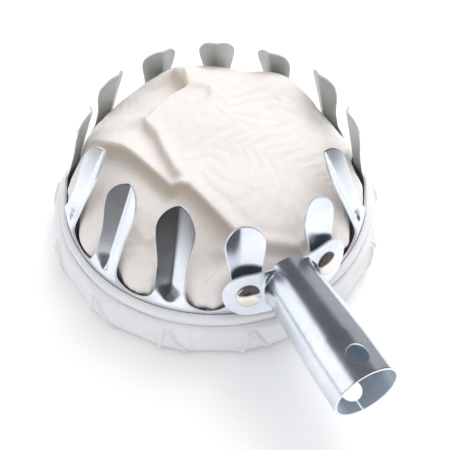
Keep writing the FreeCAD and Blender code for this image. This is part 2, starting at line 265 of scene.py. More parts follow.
def tube_along(path: Array, radius: Array, sides: int) -> Array:
    """Grid of a round tube carried along a path: at each point, a circle square to the path, kept
    from twisting by measuring it from one fixed side direction.

    Args:
        path: rows by 3, in millimetres.
        radius: the tube's radius at each row.
        sides: steps round the tube.
    Returns:
        rows by (sides + 1) by 3.
    """
    along = np.gradient(path, axis=0)
    along /= np.linalg.norm(along, axis=1, keepdims=True)
    side = np.cross(along, np.array([0.3, 0.5, 0.81]))
    side /= np.linalg.norm(side, axis=1, keepdims=True)
    other = np.cross(along, side)
    turn = np.linspace(0.0, 2.0 * math.pi, sides + 1)[None, :, None]
    ring = np.cos(turn) * side[:, None, :] + np.sin(turn) * other[:, None, :]
    return path[:, None, :] + ring * radius[:, None, None]


# ------------------------------------------------------------------ finishes

Colour = tuple[float, float, float]


class NodeBook:
    """A material's node tree, filled by short calls."""

    def __init__(self, name: str) -> None:
        """Make an empty material of this name."""
        self.material = bpy.data.materials.new(name)
        self.material.use_nodes = True
        self.tree = self.material.node_tree
        self.tree.nodes.clear()

    def node(self, kind: str, inputs: dict | None = None, **settings) -> bpy.types.Node:
        """Add a node.

        Args:
            kind: the node's type name.
            inputs: socket name to a value, or to another node's output socket.
            settings: the node's own properties.
        Returns:
            The node.
        """
        made = self.tree.nodes.new(kind)
        for key, value in settings.items():
            setattr(made, key, value)
        for key, value in (inputs or {}).items():
            socket = made.inputs[key]
            if isinstance(value, bpy.types.NodeSocket):
                self.tree.links.new(value, socket)
            else:
                socket.default_value = value
        return made

    def place(self, source: str, scale: tuple[float, float, float]) -> bpy.types.NodeSocket:
        """Object or UV coordinates, scaled.

        Args:
            source: Object or UV.
            scale: repeats per metre along each axis.
        Returns:
            The scaled coordinates.
        """
        spot = self.node("ShaderNodeTexCoord").outputs[source]
        return self.node("ShaderNodeMapping", {"Vector": spot, "Scale": scale}).outputs["Vector"]

    def noise(self, spot: bpy.types.NodeSocket, scale: float, detail: float) -> bpy.types.NodeSocket:
        """Cloudy noise from 0 to 1 at a place."""
        inputs = {"Vector": spot, "Scale": scale, "Detail": detail}
        return self.node("ShaderNodeTexNoise", inputs).outputs["Fac"]

    def sum(self, kind: str, first: object, second: object) -> bpy.types.NodeSocket:
        """One arithmetic step, such as ADD or MULTIPLY."""
        return self.node("ShaderNodeMath", {0: first, 1: second}, operation=kind).outputs[0]

    def remap(self, value: bpy.types.NodeSocket, low: float, high: float,
              start: float = 0.0, end: float = 1.0) -> bpy.types.NodeSocket:
        """Stretch the stretch from start to end of a value to the range low to high."""
        inputs = {"Value": value, "From Min": start, "From Max": end, "To Min": low, "To Max": high}
        return self.node("ShaderNodeMapRange", inputs).outputs["Result"]

    def blend(self, share: bpy.types.NodeSocket, first: Colour, second: Colour) -> bpy.types.NodeSocket:
        """Colour between two colours."""
        inputs = {"Factor": share, 6: (*first, 1.0), 7: (*second, 1.0)}
        return self.node("ShaderNodeMix", inputs, data_type="RGBA").outputs[2]

    def surface(self, shader: bpy.types.Node) -> bpy.types.Material:
        """Send a shader to the material's output."""
        self.node("ShaderNodeOutputMaterial", {"Surface": shader.outputs[0]})
        return self.material


@dataclass(frozen=True)
class Zinc:
    """Bright zinc plate on pressed steel: a faint drawn grain, mottled tint and dull patches."""

    name: str
    light: Colour = (0.88, 0.91, 0.96)
    deep: Colour = (0.70, 0.75, 0.83)
    metallic: float = 0.98
    roughness: tuple[float, float] = (0.10, 0.20)
    grain_scale: tuple[float, float, float] = (2600.0, 130.0, 1.0)
    grain_depth: float = 0.011
    speckle_share: float = 0.8

    def material(self) -> bpy.types.Material:
        """Build the finish."""
        book = NodeBook(self.name)
        spot = book.place("Object", (1.0, 1.0, 1.0))
        clouds = book.noise(spot, 55.0, 4.0)
        speckle = book.noise(spot, 1900.0, 3.0)
        grain = book.noise(book.place("UV", self.grain_scale), 1.0, 3.0)
        mottle = book.sum("ADD", clouds, book.sum("MULTIPLY", speckle, self.speckle_share))
        tint_share = book.remap(mottle, 0.0, 1.0, 0.72, 1.08)
        tint = book.blend(tint_share, self.deep, self.light)
        dull = book.sum("ADD", book.sum("MULTIPLY", clouds, 0.5), book.sum("MULTIPLY", grain, 0.5))
        rough = book.remap(dull, *self.roughness, 0.3, 0.7)
        height = book.sum("ADD", grain, book.sum("MULTIPLY", speckle, 0.5))
        bump = book.node("ShaderNodeBump", {
            "Strength": 0.6, "Distance": self.grain_depth * MM, "Height": height,
        })
        shader = book.node("ShaderNodeBsdfPrincipled", {
            "Base Color": tint, "Metallic": self.metallic, "Roughness": rough, "Normal": bump.outputs[0],
        })
        return book.surface(shader)


def zinc_faces(name: str, roughness: tuple[float, float], inner_light: Colour,
               inner_deep: Colour) -> list[bpy.types.Material]:
    """Finishes of a zinc-plated sheet.

    Args:
        name: the outer finish's name, which the other two names start with.
        roughness: least and most roughness of the outer face.
        inner_light: lighter tint of the inner face.
        inner_deep: darker tint of the inner face.
    Returns:
        The outer face, the duller inner face and the cut edge, whose own bare-edge finish is lightened and
        made less metallic so that it also paints a bright highlight line along the rims.
    """
    return [
        Zinc(name, roughness=roughness).material(),
        Zinc(name + "_inside", inner_light, inner_deep, 0.65, (0.34, 0.46)).material(),
        # cut edge: the bare edge's own finish, lightened and less metallic than the plate so that it also
        # paints a bright highlight line on every rim
        Zinc(name + "_edge", (0.93, 0.95, 0.97), (0.84, 0.87, 0.90), 0.55, (0.28, 0.38)).material(),
    ]


@dataclass(frozen=True)
class Nickel:
    """Warm nickel of the rivets, with a fine orange-peel skin."""

    name: str = "nickel"
    light: Colour = (0.94, 0.90, 0.84)
    deep: Colour = (0.80, 0.75, 0.68)

    def material(self) -> bpy.types.Material:
        """Build the finish."""
        book = NodeBook(self.name)
        spot = book.place("Object", (1.0, 1.0, 1.0))
        clouds = book.noise(spot, 400.0, 3.0)
        peel = book.noise(spot, 1500.0, 2.0)
        bump = book.node("ShaderNodeBump", {"Strength": 0.5, "Distance": 0.02 * MM, "Height": peel})
        shader = book.node("ShaderNodeBsdfPrincipled", {
            "Base Color": book.blend(clouds, self.deep, self.light),
            "Metallic": 1.0,
            "Roughness": book.remap(clouds, 0.12, 0.24, 0.3, 0.7),
            "Normal": bump.outputs[0],
        })
        return book.surface(shader)


@dataclass(frozen=True)
class Cotton:
    """Plain-weave cotton: threads both ways, slubs, a faint uneven tint and a soft sheen, and if
    asked for, a painted tan shade deep in the folds that stands in for their shadow."""

    name: str
    light: Colour
    deep: Colour
    thread: float = 0.62
    weave_depth: float = 0.05
    sheen: float = 0.25
    # colour of the painted shade deep in the folds
    painted_fold_shade_colour: Colour | None = None

    def material(self) -> bpy.types.Material:
        """Build the finish."""
        book = NodeBook(self.name)
        per_metre = 1.0 / (self.thread * MM)
        spot = book.place("UV", (per_metre, per_metre, 1.0))
        split = book.node("ShaderNodeSeparateXYZ", {"Vector": spot})
        warp = book.sum("SINE", book.sum("MULTIPLY", split.outputs[0], math.pi), 0.0)
        weft = book.sum("SINE", book.sum("MULTIPLY", split.outputs[1], math.pi), 0.0)
        weave = book.sum("MULTIPLY", warp, weft)
        warp_slub = book.noise(book.place("UV", (per_metre * 0.5, 45.0, 1.0)), 1.0, 2.0)
        weft_slub = book.noise(book.place("UV", (45.0, per_metre * 0.5, 1.0)), 1.0, 2.0)
        slub = book.sum("ADD", warp_slub, weft_slub)
        blotch = book.noise(book.place("Object", (1.0, 1.0, 1.0)), 24.0, 3.0)
        shade = book.sum("ADD", book.sum("MULTIPLY", weave, 0.10), book.sum("MULTIPLY", slub, 0.55))
        shade = book.sum("ADD", shade, book.sum("MULTIPLY", blotch, 0.9))
        tint = book.blend(book.remap(shade, 0.0, 1.0, 0.72, 1.28), self.deep, self.light)
        # painted shade: mix a tan into the cloth's colour deep in the folds, where their shadow falls
        if self.painted_fold_shade_colour:
            tint = self.paint_fold_shade(book, tint)
        height = book.sum("ADD", book.sum("MULTIPLY", weave, 0.5), slub)
        bump = book.node("ShaderNodeBump", {
            "Strength": 0.8, "Distance": self.weave_depth * MM, "Height": height,
        })
        shader = book.node("ShaderNodeBsdfPrincipled", {
            "Base Color": tint,
            "Roughness": book.remap(slub, 0.82, 0.95, 0.7, 1.3),
            "Sheen Weight": self.sheen,
            "Sheen Roughness": 0.5,
            "Specular IOR Level": 0.15,
            "Normal": bump.outputs[0],
        })
        return book.surface(shader)


    def paint_fold_shade(self, book: NodeBook, tint: bpy.types.NodeSocket) -> bpy.types.NodeSocket:
        """Painted tan shade in the folds, standing in for their shadow: mixed in by the piece's second
        UV map, whose first axis runs from 0 on open cloth to 1 deep in a fold."""
        spot = book.node("ShaderNodeUVMap", uv_map="folds").outputs["UV"]
        depth = book.node("ShaderNodeSeparateXYZ", {"Vector": spot}).outputs[0]
        inputs = {"Factor": depth, 6: tint, 7: (*self.painted_fold_shade_colour, 1.0)}
        return book.node("ShaderNodeMix", inputs, data_type="RGBA").outputs[2]


@dataclass(frozen=True)
class Glow:
    """Plain light of a studio card."""

    name: str
    colour: Colour
    strength: float

    def material(self) -> bpy.types.Material:
        """Build the light."""
        book = NodeBook(self.name)
        inputs = {"Color": (*self.colour, 1.0), "Strength": self.strength}
        return book.surface(book.node("ShaderNodeEmission", inputs))


@dataclass(frozen=True)
class Paper:
    """Pale matt paper under the basket."""

    name: str = "paper"
    colour: Colour = (0.97, 0.97, 0.97)

    def material(self) -> bpy.types.Material:
        """Build the paper."""
        book = NodeBook(self.name)
        inputs = {"Base Color": (*self.colour, 1.0), "Roughness": 0.95, "Specular IOR Level": 0.0}
        return book.surface(book.node("ShaderNodeBsdfPrincipled", inputs))


# ------------------------------------------------------------------ the ring's layout

class ClawKind(Enum):
    """The two ways a claw is pressed."""

    FREE = "free"
    EARED = "eared"


@dataclass(frozen=True)
class Layout:
    """Where the parts lie, in millimetres, read from the frame."""

    radius: float
    band_foot: float
    band_depth: float = 13.0
    socket_claw_angle: float = math.radians(15.5)
    claw_leans: tuple[float, ...] = (12.6, 26, 26, 26, 18, 18, 18, 18, 19, 14, 12, 26, 12.6)
    bend_start: float = 5.0
    bend_length: float = 6.0
    rivet_rise: float = 11.8
    ear_tilt: float = math.radians(13.0)
    ear_inset: float = 0.75

    @classmethod
    def from_frame(cls) -> "Layout":
        """Read the ring's radius and the band's foot from the claw crown."""
        low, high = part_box("claw_crown")
        return cls(radius=high.x / MM, band_foot=low.z / MM)

    @property
    def gap_level(self) -> float:
        """Bottoms of the gaps between the claws."""
        return self.band_foot + self.band_depth

    @property
    def pitch(self) -> float:
        """Angle from claw to claw in radians."""
        return (2.0 * math.pi - 2.0 * self.socket_claw_angle) / (len(self.claw_leans) - 1)

    def lean_shift(self, height: Array, lean: float) -> Array:
        """How far a claw has leaned inwards: tan of the lean times the height above the bend, which
        itself is rounded by a parabola over the bend's length."""
        above = np.maximum(0.0, height - self.bend_start)
        curved = np.minimum(above, self.bend_length)
        straight = above - curved
        return math.tan(math.radians(lean)) * (curved * curved / (2.0 * self.bend_length) + straight)

    def ear_shift(self, level: Array) -> Array:
        """How far the ears and rivets lie inwards at a height above the rest plane: a straight tilt
        with the strip, upper edge in and lower edge standing out."""
        return self.ear_inset + math.tan(self.ear_tilt) * (level - self.gap_level - self.rivet_rise)

    def claw_angles(self) -> list[float]:
        """Angles of the claws in order from the socket's -X side round to its +X side."""
        return [-self.socket_claw_angle - step * self.pitch for step in range(len(self.claw_leans))]

    def gap_angles(self) -> list[float]:
        """Angles of the middles of the gaps, but for the socket's own gap."""
        return [angle - self.pitch / 2.0 for angle in self.claw_angles()[:-1]]


# ------------------------------------------------------------------ claw crown

@dataclass
class ClawCrown:
    """The steel strip with its thirteen pressed claws."""

    layout: Layout
    faces: list[bpy.types.Material]
    gauge: float = 1.0
    claw_height: float = 46.5
    root: float = 7.0
    waist_height: float = 19.0
    head: float = 9.2
    flute_start: dict = field(default_factory=lambda: {ClawKind.FREE: 1.0, ClawKind.EARED: 12.5})
    flute_ramp: float = 10.0
    flute_depth: dict = field(default_factory=lambda: {ClawKind.FREE: 4.3, ClawKind.EARED: 3.0})
    flute_half_width: float = 9.8
    crease: dict = field(default_factory=lambda: {ClawKind.FREE: 0.07, ClawKind.EARED: 0.60})
    dimple_depth: float = 0.45
    strip_end_gap: float = 0.8
    columns: int = 32

    def flute(self, across: Array, height: Array, kind: ClawKind) -> Array:
        """Depth of the pressed groove: a V whose point is rounded by a hyperbola, opened over a short
        ramp, with a small dimple where the press tool's nose struck."""
        crease = self.crease[kind]
        share = np.minimum(np.abs(across) / self.flute_half_width, 1.0)
        vee = (np.sqrt(share * share + crease * crease) - crease) / (math.sqrt(1 + crease * crease) - crease)
        start = self.flute_start[kind]
        opened = soft_step((height - start) / self.flute_ramp)
        nose = bell(across / 2.2) * bell((height - start - self.flute_ramp * 0.55) / 1.6)
        return self.flute_depth[kind] * opened * (1.0 - vee) + self.dimple_depth * nose

    def outline(self, kind_edge: float) -> tuple[Array, Array]:
        """Half width and height above the gap bottoms along one side of a claw: straight along the
        band, a quarter circle up out of the gap, then a slow swell from root to head.

        Args:
            kind_edge: half width of the claw's stretch of band.
        Returns:
            Half widths and heights, row by row from the band's foot to the head.
        """
        scallop = kind_edge - self.root
        band = np.linspace(-self.layout.band_depth, 0.0, 6, endpoint=False)
        turn = np.linspace(0.0, math.pi / 2.0, 16, endpoint=False)
        shoulder = self.claw_height - self.head
        blade = np.linspace(scallop, shoulder, 24)
        swell = soft_step((blade - self.waist_height) / (shoulder - self.waist_height))
        widths = [np.full_like(band, kind_edge), kind_edge - scallop * np.sin(turn),
                  self.root + (self.head - self.root) * swell]
        heights = [band, scallop * (1.0 - np.cos(turn)), blade]
        return np.concatenate(widths), np.concatenate(heights)

    def flat_claw(self, left_edge: float, right_edge: float) -> tuple[Array, Array]:
        """Flat pattern of one claw and its band: rows joined from side to side, and round rows that
        close the tip.

        Args:
            left_edge: half width of the band on the -X side.
            right_edge: the same on the +X side.
        Returns:
            Across and height of every grid point, rows by columns.
        """
        step = np.linspace(-1.0, 1.0, self.columns + 1)[None, :]
        side = np.sign(step) * np.abs(step) ** 1.25
        left_width, left_height = (part[:, None] for part in self.outline(left_edge))
        right_width, right_height = (part[:, None] for part in self.outline(right_edge))
        middle = (left_height + right_height) / 2.0
        share = np.abs(side)
        width = np.where(side < 0.0, left_width, right_width)
        level = np.where(side < 0.0, left_height, right_height)
        across = side * width
        height = middle + (level - middle) * share
        rise = np.linspace(0.0, 1.0, 12)[1:, None]
        spread = math.pi / 2.0 - rise * math.radians(38.0)
        shoulder = self.claw_height - self.head
        edge_height = shoulder + self.head * np.cos(spread)
        arch = (np.cos(side * spread) - np.cos(spread)) / (1.0 - np.cos(spread))
        tip_height = edge_height + (shoulder + self.head * rise - edge_height) * arch
        chord = self.head * np.sin(spread) * side
        tip_across = chord + (self.head * np.sin(side * spread) - chord) * rise
        return np.concatenate([across, tip_across]), np.concatenate([height, tip_height])

    def claw(self, number: int) -> tuple[Array, Array]:
        """One claw, formed and in its place.

        Args:
            number: place in order round the ring, from 0.
        Returns:
            Points and flat marks of its grid.
        """
        layout = self.layout
        last = len(layout.claw_leans) - 1
        kind = ClawKind.EARED if number in (0, last) else ClawKind.FREE
        plain_edge = layout.radius * math.sin(layout.pitch / 2.0)
        end_edge = layout.radius * math.sin(layout.socket_claw_angle) - self.strip_end_gap / 2.0
        left_edge = end_edge if number == last else plain_edge
        right_edge = end_edge if number == 0 else plain_edge
        across, height = self.flat_claw(left_edge, right_edge)
        inward = layout.lean_shift(height, layout.claw_leans[number])
        inward = inward + self.flute(across, height, kind)
        depth = -np.sqrt(layout.radius ** 2 - across ** 2) + inward
        standing = np.stack([across, depth, layout.gap_level + height], axis=-1)
        angle = layout.claw_angles()[number]
        marks = np.stack([across + layout.radius * angle, height], axis=-1)
        return turned(standing, angle), marks

    def build(self) -> bpy.types.Object:
        """Build and dress the crown."""
        work = Patchwork()
        for number in range(len(self.layout.claw_leans)):
            work.add(*self.claw(number))
        piece = work.build("crown_strip")
        thicken(piece, self.gauge)
        ease_edges(piece, 0.16)
        dress(piece, self.faces, ["claw_crown"])
        return piece


# ------------------------------------------------------------------ pole socket

@dataclass
class PoleSocket:
    """Rolled sheet tube for the pole, with two ears turned out from its ring end."""

    layout: Layout
    faces: list[bpy.types.Material]
    gauge: float = 1.2
    root_radius: float = 13.5
    mouth_radius: float = 15.8
    straight: float = 23.0
    slit: float = 0.8
    hole_radius: float = 5.25
    hole_from_mouth: float = 10.3
    patch_half: float = 7.4
    ear_radius: float = 11.5
    ear_face: float = 79.35
    ear_back: float = 78.15
    reach_in: float = 4.7
    fold: float = 1.4

    def __post_init__(self) -> None:
        """Read the mouth and the axis from the frame."""
        low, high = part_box("pole_socket")
        self.mouth = low.y / MM
        self.axis = (low.z + high.z) / 2.0 / MM
        self.ring_end = -(self.layout.radius - self.reach_in)
        self.taper_end = self.mouth + self.straight
        self.rivet_out = self.ear_back * math.sin(self.layout.socket_claw_angle)

    def tube_radius(self, y: Array) -> Array:
        """Outer radius along the tube: straight at the mouth, then an even taper to the ring."""
        share = np.clip((y - self.taper_end) / (self.ring_end - self.taper_end), 0.0, 1.0)
        return self.mouth_radius + (self.root_radius - self.mouth_radius) * share

    def column_angles(self, corner: float, patch: float) -> tuple[Array, list[int]]:
        """Angles round the tube from slit to slit, with a column at each ear's corner and at the
        hole patches' sides.

        Args:
            corner: half angle of an ear where it leaves the tube.
            patch: half angle of a hole patch.
        Returns:
            The angles, from +X towards +Z, and the column numbers of the stops.
        """
        lip = self.slit / 2.0 / self.mouth_radius
        quarter = math.pi / 2.0
        stops = [-quarter + lip, -quarter + patch, -corner, corner, quarter - patch, quarter + patch,
                 math.pi - corner, math.pi + corner, 3 * quarter - patch, 3 * quarter - lip]
        steps = [10, 3, 56, 3, 20, 3, 56, 3, 10]
        return spaced(stops, steps), list(np.cumsum([0] + steps))

    def on_tube(self, angle: Array, y: Array) -> Array:
        """Points of the tube's outer face at an angle about its axis and a place along it."""
        angle, y = np.broadcast_arrays(angle, y)
        radius = self.tube_radius(y)
        return np.stack([radius * np.cos(angle), y, self.axis + radius * np.sin(angle)], axis=-1)

    def marks(self, angle: Array, y: Array) -> Array:
        """Flat pattern: distance round the tube and along it."""
        return np.stack(np.broadcast_arrays(angle * self.mouth_radius, y), axis=-1)

    def hole_ring(self, angles: Array, ys: Array, centre: float) -> tuple[Array, Array]:
        """Grid between a hole's edge and the border of its patch: every border point is joined to
        the point of the hole's circle that lies in its direction.

        Args:
            angles: angles of the border points.
            ys: their places along the tube.
            centre: the hole's angle.
        Returns:
            Angle and y of rows from the border to the hole.
        """
        hole_y = self.mouth + self.hole_from_mouth
        across = (angles - centre) * self.mouth_radius
        along = ys - hole_y
        reach = np.hypot(across, along)
        sine = self.hole_radius * across / reach / self.mouth_radius
        hole_angle = centre + np.arcsin(sine)
        hole_along = hole_y + self.hole_radius * along / reach
        share = np.linspace(0.0, 1.0, 8)[:, None]
        return angles + (hole_angle - angles) * share, ys + (hole_along - ys) * share

    def add_holes(self, work: Patchwork, angles: Array, ys: Array, stops: list[int], rows: slice) -> None:
        """Fill the hole patches: the top one whole, the two lower ones halved by the slit.

        Args:
            work: the patchwork to add to.
            angles: the tube's column angles.
            ys: the tube's row places.
            stops: the columns that bound the patches.
            rows: the rows of the patches.
        """
        low, high = rows.start, rows.stop - 1
        column = ys[rows]
        top = angles[stops[4]:stops[5] + 1]
        right = np.full(len(column), top[-1])
        left = np.full(len(column), top[0])
        whole_angles = np.concatenate([top, right[1:], top[::-1][1:], left[1:]])
        whole_ys = np.concatenate([
            np.full(len(top), ys[low]), column[1:], np.full(len(top) - 1, ys[high]), column[::-1][1:],
        ])
        for border_angles, border_ys, centre, flip in (
            (whole_angles, whole_ys, math.pi / 2.0, True),
            self.half_border(angles[stops[0]:stops[1] + 1], column, ys[low], ys[high], False),
            self.half_border(angles[stops[8]:stops[9] + 1][::-1], column, ys[low], ys[high], True),
        ):
            angle, y = self.hole_ring(border_angles, border_ys, centre)
            work.add(self.on_tube(angle, y), self.marks(angle, y), flip=flip)

    def half_border(self, span: Array, column: Array, low: float, high: float,
                    mirrored: bool) -> tuple[Array, Array, float, bool]:
        """Border of a half patch that starts and ends on the slit.

        Args:
            span: angles from the slit to the patch's far side.
            column: row places of the patch.
            low: the first of them.
            high: the last of them.
            mirrored: true on the side where angles fall away from the slit.
        Returns:
            Border angles and places, the slit's angle, and whether the faces are turned round.
        """
        border = np.concatenate([span, np.full(len(column) - 1, span[-1]), span[::-1][1:]])
        places = np.concatenate([np.full(len(span), low), column[1:], np.full(len(span) - 1, high)])
        return border, places, span[0], not mirrored

    def add_ear(self, work: Patchwork, angles: Array, turn_y: Array, fold: Array) -> None:
        """One ear: the sheet turns out of the tube over a small bend, then lies along the strip out
        to a straight edge or the round end.

        Args:
            work: the patchwork to add to.
            angles: the tube columns of this ear.
            turn_y: where each column starts its bend.
            fold: the bend's radius at each column.
        """
        start = self.tube_radius(turn_y)
        bend = np.linspace(0.0, math.pi / 2.0, 8)[:, None]
        sine, cosine = np.sin(angles), np.abs(np.cos(angles))
        reach = np.where(
            np.abs(np.arctan2(sine, cosine)) > math.atan2(self.ear_radius, self.rivet_out),
            self.ear_radius / np.maximum(np.abs(sine), 1e-6),
            self.rivet_out * cosine
            + np.sqrt(np.maximum(self.ear_radius ** 2 - (self.rivet_out * sine) ** 2, 0.0)),
        )
        bent = start + fold * (1.0 - np.cos(bend))
        share = np.linspace(0.0, 1.0, 18)[1:, None]
        flat = start + fold + (np.maximum(reach, start + fold) - start - fold) * share
        out = np.concatenate([bent, flat])
        x = out * np.cos(angles)
        level = self.axis + out * np.sin(angles)
        face = self.layout.ear_shift(level) - np.sqrt(self.ear_face ** 2 - x ** 2)
        back_off = np.concatenate([fold * (1.0 - np.sin(bend)), np.zeros_like(flat)])
        y = face - back_off
        y[0] = turn_y
        points = np.stack([x, y, level], axis=-1)
        work.add(points, np.stack([x, out * np.sin(angles)], axis=-1), flip=True)

    def build(self) -> bpy.types.Object:
        """Build and dress the socket."""
        near = float(self.tube_radius(np.array(-self.ear_face)))
        corner = math.asin(self.ear_radius / near)
        angles, stops = self.column_angles(corner, self.patch_half / self.mouth_radius)
        hole_y = self.mouth + self.hole_from_mouth
        lengths = spaced(
            [self.mouth, hole_y - self.patch_half, hole_y + self.patch_half, self.taper_end],
            [4, 18, 6],
        )
        patch_rows = slice(4, 4 + 18 + 1)
        root_x = near * np.cos(angles)
        away = np.minimum(np.abs(angles), np.abs(math.pi - angles))
        spare = np.maximum(self.ear_radius / np.maximum(np.abs(np.sin(angles)), 0.2) - near, 0.0)
        fold = np.where(away < corner, np.minimum(self.fold, spare * 0.8), 0.0)
        shift = self.layout.ear_shift(self.axis + near * np.sin(angles))
        turn_y = shift - np.sqrt(self.ear_face ** 2 - root_x ** 2) - fold
        share = np.linspace(0.0, 1.0, 41)[1:, None]
        rows = np.concatenate([
            np.broadcast_to(lengths[:, None], (len(lengths), len(angles))),
            self.taper_end + (turn_y - self.taper_end) * share,
        ])
        keep = np.ones((rows.shape[0] - 1, len(angles) - 1), bool)
        for first, last in ((0, 1), (4, 5), (8, 9)):
            keep[patch_rows.start:patch_rows.stop - 1, stops[first]:stops[last]] = False
        work = Patchwork()
        grid = np.broadcast_to(angles[None, :], rows.shape)
        work.add(self.on_tube(grid, rows), self.marks(grid, rows), flip=True, keep=keep)
        self.add_holes(work, angles, lengths, stops, patch_rows)
        for first, last, end in ((3, 6, self.ring_end), (0, 2, None), (7, 9, None)):
            span = slice(stops[first], stops[last] + 1)
            back = shift[span] - np.sqrt(self.ear_back ** 2 - root_x[span] ** 2)
            finish = end if end is not None else back
            more = turn_y[span] + (finish - turn_y[span]) * np.linspace(0.0, 1.0, 6)[:, None]
            wide = np.broadcast_to(angles[span][None, :], more.shape)
            work.add(self.on_tube(wide, more), self.marks(wide, more), flip=True)
        for first, last in ((2, 3), (6, 7)):
            span = slice(stops[first], stops[last] + 1)
            self.add_ear(work, angles[span], turn_y[span], fold[span])
        piece = work.build("socket_sheet")
        thicken(piece, self.gauge, even=False)
        ease_edges(piece, 0.18)
        dress(piece, self.faces, ["pole_socket"])
        return piece


# ------------------------------------------------------------------ rivets

@dataclass
class Rivets:
    """Two domed rivets through the ears and the strip."""

    layout: Layout
    finish: Nickel
    axis: float
    head_radius: float = 5.8
    head_rise: float = 2.8
    shank_radius: float = 2.5
    tail_radius: float = 4.0
    tail_rise: float = 1.6
    seat: float = 79.45
    inside: float = 76.8
    columns: int = 64

    def profile(self) -> Array:
        """Half outline from the head's pole to the tail's: a domed head with a rounded rim, the
        shank, and a spread tail with a shallow dish."""
        turn = np.linspace(0.0, 1.0, 20)
        dome_out = self.head_radius * np.sin(turn * math.pi / 2.0)
        dome_along = self.seat + 0.45 + (self.head_rise - 0.45) * np.cos(turn * math.pi / 2.0) ** 1.15
        rim = np.array([[self.head_radius, self.seat + 0.15], [self.head_radius - 0.15, self.seat],
                        [self.shank_radius, self.seat]])
        tail = np.array([
            [self.shank_radius, self.inside],
            [self.tail_radius - 0.2, self.inside],
            [self.tail_radius, self.inside - 0.3],
            [self.tail_radius - 0.15, self.inside - self.tail_rise + 0.5],
            [self.tail_radius * 0.8, self.inside - self.tail_rise],
            [self.tail_radius * 0.45, self.inside - self.tail_rise + 0.1],
            [0.0, self.inside - self.tail_rise + 0.45],
        ])
        return np.concatenate([np.stack([dome_out, dome_along], axis=-1), rim, tail])

    def build(self) -> None:
        """Build and dress both rivets."""
        material = self.finish.material()
        for side, sign in (("left", -1.0), ("right", 1.0)):
            angle = sign * self.layout.socket_claw_angle

            def place(points: Array, angle: float = angle) -> Array:
                """Lay the piece's axis along the ring's radius at this rivet, tilted with the ear."""
                out = points[..., 2] - self.seat
                tilt = self.layout.ear_tilt
                reach = self.seat - self.layout.ear_inset
                laid = np.stack([
                    points[..., 0],
                    -reach - out * math.cos(tilt) + points[..., 1] * math.sin(tilt),
                    self.axis + points[..., 1] * math.cos(tilt) + out * math.sin(tilt),
                ], axis=-1)
                return turned(laid, angle)

            piece = turned_piece(f"rivet_head_{side}", self.profile(), self.columns, place)
            dress(piece, [material], [f"rivet_{side}"])


# ------------------------------------------------------------------ the bag's outer parts

@dataclass
class Hem:
    """The bag's casing round the outside of the strip, with its two rows of stitches."""

    layout: Layout
    finish: Cotton
    thread_finish: Cotton
    inner: float = 78.1
    outer: float = 80.9
    bulge: float = 0.25
    top_rise: float = 0.8
    tuck: float = 2.6
    rows_at: tuple[float, float] = (0.45, 0.88)
    stitches: int = 150

    def __post_init__(self) -> None:
        """Read the casing's height from the frame. Its foot is tucked in behind the fold."""
        low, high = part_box("bag_hem")
        self.foot = low.z / MM - self.tuck
        self.top = high.z / MM

    def face_radius(self, angle: Array, level: Array) -> Array:
        """Radius of the casing's outer face: a soft puff between two stitch rows, a light pucker
        along them, and slow unevenness from hand gathering."""
        first, second = self.rows_at
        puff = np.sin(np.clip((level - first) / (second - first), 0.0, 1.0) * math.pi)
        pucker = 0.10 * np.sin(angle * self.stitches) * bell((level - first) / 0.10)
        slow = 0.22 * np.sin(angle * 13.0 + 1.0) * np.sin(level * 3.0 + angle * 2.0)
        return self.outer - self.bulge + self.bulge * 2.0 * puff + pucker + slow * 0.5

    def build(self) -> bpy.types.Object:
        """Build and dress the casing and its stitches."""
        columns, rows = 520, 18
        angle = np.linspace(-math.pi, math.pi, columns + 1)[None, :]
        level = np.linspace(0.0, 1.0, rows)[:, None]
        away_from_socket = 1.0 - bell(angle / 0.25)
        height = self.foot + (self.top - self.foot + self.top_rise * away_from_socket) * level
        outside = self.face_radius(angle, level)
        rounding = 1.0 - 0.85 * (bell(level / 0.07) + bell((1.0 - level) / 0.07))
        outside = self.inner + (outside - self.inner) * rounding
        outer_grid = ring_point(outside, angle, height)
        marks = np.stack(np.broadcast_arrays(angle * self.outer, height), axis=-1)
        inner_grid = ring_point(self.inner + 0.0 * level, angle, height)
        work = Patchwork()
        work.add(outer_grid, marks)
        work.add(inner_grid, marks, flip=True)
        for row in (0, rows - 1):
            lip = np.stack([inner_grid[row], outer_grid[row]])
            work.add(lip, np.stack([marks[row], marks[row]]), flip=row != 0)
        piece = work.build("hem_casing")
        outward_normals(piece)
        threads = self.stitch_rows()
        dress(piece, [self.finish.material()], ["bag_hem"])
        dress(threads, [self.thread_finish.material()], [])
        return piece

    def stitch_rows(self) -> bpy.types.Object:
        """Running stitches: short flattened beads, each a grid of few faces, repeated round."""
        work = Patchwork()
        bead_rows, bead_sides = 4, 5
        along = np.linspace(-1.0, 1.0, bead_rows)
        arch = np.sqrt(np.maximum(1.0 - along ** 2, 0.0))
        turn = np.linspace(0.0, 2.0 * math.pi, bead_sides + 1)
        pitch = 2.0 * math.pi / self.stitches
        for share in self.rows_at:
            level = self.foot + (self.top - self.foot) * share
            for number in range(self.stitches):
                middle = number * pitch - math.pi
                seat = float(self.face_radius(np.array(middle), np.array(share)))
                angle = middle + along * pitch * 0.33
                out = seat + 0.02 + 0.20 * arch[:, None] * np.cos(turn)[None, :]
                height = level + 0.22 * arch[:, None] * np.sin(turn)[None, :]
                grid = ring_point(out, angle[:, None] + 0.0 * out, height)
                work.add(grid, np.stack([out, height], axis=-1))
        piece = work.build("hem_stitches")
        outward_normals(piece)
        return piece


